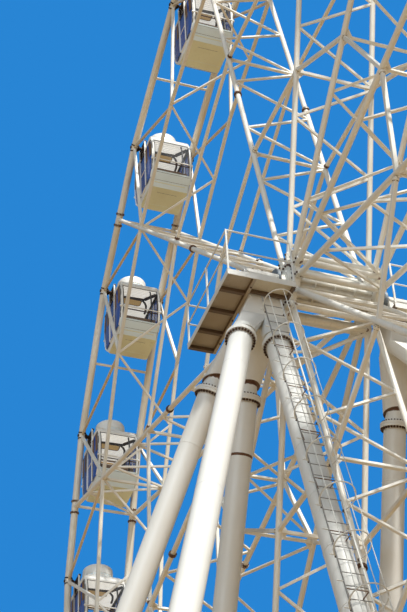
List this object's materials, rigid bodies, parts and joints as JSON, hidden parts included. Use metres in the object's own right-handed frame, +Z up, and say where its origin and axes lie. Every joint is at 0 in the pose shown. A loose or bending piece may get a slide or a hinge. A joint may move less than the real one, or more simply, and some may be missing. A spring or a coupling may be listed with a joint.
{
  "type": "ferris wheel",
  "caption": "Tall fairground wheel of white tube lattice with enclosed hanging cabins, two rims tied by spokes, and a splayed group of round legs on each side.",
  "frame": {"origin": "on the ground below the middle of the wheel's shaft", "axes": "+Z up, +Y along the shaft from the near rim to the far rim, +X along the wheel's plane"},
  "size_m": [35.2318, 17.512, 39.7209],
  "materials": {
    "spoke_paint": "satin",
    "rim_paint": "satin",
    "support_paint": "satin",
    "cabin_shell": "gloss",
    "deck_paint": "matte",
    "ladder_paint": "satin",
    "shaft_steel": "brushed"
  },
  "bodies": {
    "supports": {"near_head": "support_paint", "far_head": "support_paint", "near_platform": "deck_paint", "far_platform": "deck_paint", "near_ladder": "ladder_paint", "near_leg_front_outer": "support_paint", "near_leg_front_inner": "support_paint", "near_leg_rear_outer": "support_paint", "near_leg_rear_inner": "support_paint", "far_leg_front_outer": "support_paint", "far_leg_front_inner": "support_paint", "far_leg_rear_outer": "support_paint", "far_leg_rear_inner": "support_paint"},
    "wheel": {"hub_and_shaft": "shaft_steel", "spoke_01": "spoke_paint", "spoke_02": "spoke_paint", "spoke_03": "spoke_paint", "spoke_04": "spoke_paint", "spoke_05": "spoke_paint", "spoke_06": "spoke_paint", "spoke_07": "spoke_paint", "spoke_08": "spoke_paint", "spoke_09": "spoke_paint", "spoke_10": "spoke_paint", "spoke_11": "spoke_paint", "spoke_12": "spoke_paint", "rim_near_1": "rim_paint", "rim_near_2": "rim_paint", "rim_near_3": "rim_paint", "rim_near_4": "rim_paint", "rim_far_1": "rim_paint", "rim_far_2": "rim_paint", "rim_far_3": "rim_paint", "rim_far_4": "rim_paint"},
    "hanging_cabin_01": {"cabin_01": "cabin_shell"},
    "hanging_cabin_02": {"cabin_02": "cabin_shell"},
    "hanging_cabin_03": {"cabin_03": "cabin_shell"},
    "hanging_cabin_04": {"cabin_04": "cabin_shell"},
    "hanging_cabin_05": {"cabin_05": "cabin_shell"},
    "hanging_cabin_06": {"cabin_06": "cabin_shell"},
    "hanging_cabin_07": {"cabin_07": "cabin_shell"},
    "hanging_cabin_08": {"cabin_08": "cabin_shell"},
    "hanging_cabin_09": {"cabin_09": "cabin_shell"},
    "hanging_cabin_10": {"cabin_10": "cabin_shell"},
    "hanging_cabin_11": {"cabin_11": "cabin_shell"},
    "hanging_cabin_12": {"cabin_12": "cabin_shell"},
    "hanging_cabin_13": {"cabin_13": "cabin_shell"},
    "hanging_cabin_14": {"cabin_14": "cabin_shell"},
    "hanging_cabin_15": {"cabin_15": "cabin_shell"},
    "hanging_cabin_16": {"cabin_16": "cabin_shell"},
    "hanging_cabin_17": {"cabin_17": "cabin_shell"},
    "hanging_cabin_18": {"cabin_18": "cabin_shell"},
    "hanging_cabin_19": {"cabin_19": "cabin_shell"},
    "hanging_cabin_20": {"cabin_20": "cabin_shell"},
    "hanging_cabin_21": {"cabin_21": "cabin_shell"},
    "hanging_cabin_22": {"cabin_22": "cabin_shell"},
    "hanging_cabin_23": {"cabin_23": "cabin_shell"},
    "hanging_cabin_24": {"cabin_24": "cabin_shell"}
  },
  "joints": [
    {"name": "wheel_spin", "type": "hinge", "parent": "supports", "child": "wheel", "pos_m": [0, 0, 22.5], "axis": [0, 1, 0], "continuous": true},
    {"name": "cabin_01_level", "type": "hinge", "parent": "wheel", "child": "hanging_cabin_01", "pos_m": [15.7667, 0, 28.301], "axis": [0, 1, 0], "continuous": true},
    {"name": "cabin_02_level", "type": "hinge", "parent": "wheel", "child": "hanging_cabin_02", "pos_m": [13.728, 0, 32.1841], "axis": [0, 1, 0], "continuous": true},
    {"name": "cabin_03_level", "type": "hinge", "parent": "wheel", "child": "hanging_cabin_03", "pos_m": [10.7538, 0, 35.4072], "axis": [0, 1, 0], "continuous": true},
    {"name": "cabin_04_level", "type": "hinge", "parent": "wheel", "child": "hanging_cabin_04", "pos_m": [7.0468, 0, 37.7507], "axis": [0, 1, 0], "continuous": true},
    {"name": "cabin_05_level", "type": "hinge", "parent": "wheel", "child": "hanging_cabin_05", "pos_m": [2.8595, 0, 39.0549], "axis": [0, 1, 0], "continuous": true},
    {"name": "cabin_06_level", "type": "hinge", "parent": "wheel", "child": "hanging_cabin_06", "pos_m": [-1.5226, 0, 39.2309], "axis": [0, 1, 0], "continuous": true},
    {"name": "cabin_07_level", "type": "hinge", "parent": "wheel", "child": "hanging_cabin_07", "pos_m": [-5.801, 0, 38.2667], "axis": [0, 1, 0], "continuous": true},
    {"name": "cabin_08_level", "type": "hinge", "parent": "wheel", "child": "hanging_cabin_08", "pos_m": [-9.6841, 0, 36.228], "axis": [0, 1, 0], "continuous": true},
    {"name": "cabin_09_level", "type": "hinge", "parent": "wheel", "child": "hanging_cabin_09", "pos_m": [-12.9072, 0, 33.2538], "axis": [0, 1, 0], "continuous": true},
    {"name": "cabin_10_level", "type": "hinge", "parent": "wheel", "child": "hanging_cabin_10", "pos_m": [-15.2507, 0, 29.5468], "axis": [0, 1, 0], "continuous": true},
    {"name": "cabin_11_level", "type": "hinge", "parent": "wheel", "child": "hanging_cabin_11", "pos_m": [-16.5549, 0, 25.3595], "axis": [0, 1, 0], "continuous": true},
    {"name": "cabin_12_level", "type": "hinge", "parent": "wheel", "child": "hanging_cabin_12", "pos_m": [-16.7309, 0, 20.9774], "axis": [0, 1, 0], "continuous": true},
    {"name": "cabin_13_level", "type": "hinge", "parent": "wheel", "child": "hanging_cabin_13", "pos_m": [-15.7667, 0, 16.699], "axis": [0, 1, 0], "continuous": true},
    {"name": "cabin_14_level", "type": "hinge", "parent": "wheel", "child": "hanging_cabin_14", "pos_m": [-13.728, 0, 12.8159], "axis": [0, 1, 0], "continuous": true},
    {"name": "cabin_15_level", "type": "hinge", "parent": "wheel", "child": "hanging_cabin_15", "pos_m": [-10.7538, 0, 9.5928], "axis": [0, 1, 0], "continuous": true},
    {"name": "cabin_16_level", "type": "hinge", "parent": "wheel", "child": "hanging_cabin_16", "pos_m": [-7.0468, 0, 7.2493], "axis": [0, 1, 0], "continuous": true},
    {"name": "cabin_17_level", "type": "hinge", "parent": "wheel", "child": "hanging_cabin_17", "pos_m": [-2.8595, 0, 5.9451], "axis": [0, 1, 0], "continuous": true},
    {"name": "cabin_18_level", "type": "hinge", "parent": "wheel", "child": "hanging_cabin_18", "pos_m": [1.5226, 0, 5.7691], "axis": [0, 1, 0], "continuous": true},
    {"name": "cabin_19_level", "type": "hinge", "parent": "wheel", "child": "hanging_cabin_19", "pos_m": [5.801, 0, 6.7333], "axis": [0, 1, 0], "continuous": true},
    {"name": "cabin_20_level", "type": "hinge", "parent": "wheel", "child": "hanging_cabin_20", "pos_m": [9.6841, 0, 8.772], "axis": [0, 1, 0], "continuous": true},
    {"name": "cabin_21_level", "type": "hinge", "parent": "wheel", "child": "hanging_cabin_21", "pos_m": [12.9072, 0, 11.7462], "axis": [0, 1, 0], "continuous": true},
    {"name": "cabin_22_level", "type": "hinge", "parent": "wheel", "child": "hanging_cabin_22", "pos_m": [15.2507, 0, 15.4532], "axis": [0, 1, 0], "continuous": true},
    {"name": "cabin_23_level", "type": "hinge", "parent": "wheel", "child": "hanging_cabin_23", "pos_m": [16.5549, 0, 19.6405], "axis": [0, 1, 0], "continuous": true},
    {"name": "cabin_24_level", "type": "hinge", "parent": "wheel", "child": "hanging_cabin_24", "pos_m": [16.7309, 0, 24.0226], "axis": [0, 1, 0], "continuous": true}
  ],
  "couplings": [
    {"joint": "cabin_01_level", "follows": "wheel_spin", "ratio": -1},
    {"joint": "cabin_02_level", "follows": "wheel_spin", "ratio": -1},
    {"joint": "cabin_03_level", "follows": "wheel_spin", "ratio": -1},
    {"joint": "cabin_04_level", "follows": "wheel_spin", "ratio": -1},
    {"joint": "cabin_05_level", "follows": "wheel_spin", "ratio": -1},
    {"joint": "cabin_06_level", "follows": "wheel_spin", "ratio": -1},
    {"joint": "cabin_07_level", "follows": "wheel_spin", "ratio": -1},
    {"joint": "cabin_08_level", "follows": "wheel_spin", "ratio": -1},
    {"joint": "cabin_09_level", "follows": "wheel_spin", "ratio": -1},
    {"joint": "cabin_10_level", "follows": "wheel_spin", "ratio": -1},
    {"joint": "cabin_11_level", "follows": "wheel_spin", "ratio": -1},
    {"joint": "cabin_12_level", "follows": "wheel_spin", "ratio": -1},
    {"joint": "cabin_13_level", "follows": "wheel_spin", "ratio": -1},
    {"joint": "cabin_14_level", "follows": "wheel_spin", "ratio": -1},
    {"joint": "cabin_15_level", "follows": "wheel_spin", "ratio": -1},
    {"joint": "cabin_16_level", "follows": "wheel_spin", "ratio": -1},
    {"joint": "cabin_17_level", "follows": "wheel_spin", "ratio": -1},
    {"joint": "cabin_18_level", "follows": "wheel_spin", "ratio": -1},
    {"joint": "cabin_19_level", "follows": "wheel_spin", "ratio": -1},
    {"joint": "cabin_20_level", "follows": "wheel_spin", "ratio": -1},
    {"joint": "cabin_21_level", "follows": "wheel_spin", "ratio": -1},
    {"joint": "cabin_22_level", "follows": "wheel_spin", "ratio": -1},
    {"joint": "cabin_23_level", "follows": "wheel_spin", "ratio": -1},
    {"joint": "cabin_24_level", "follows": "wheel_spin", "ratio": -1}
  ]
}
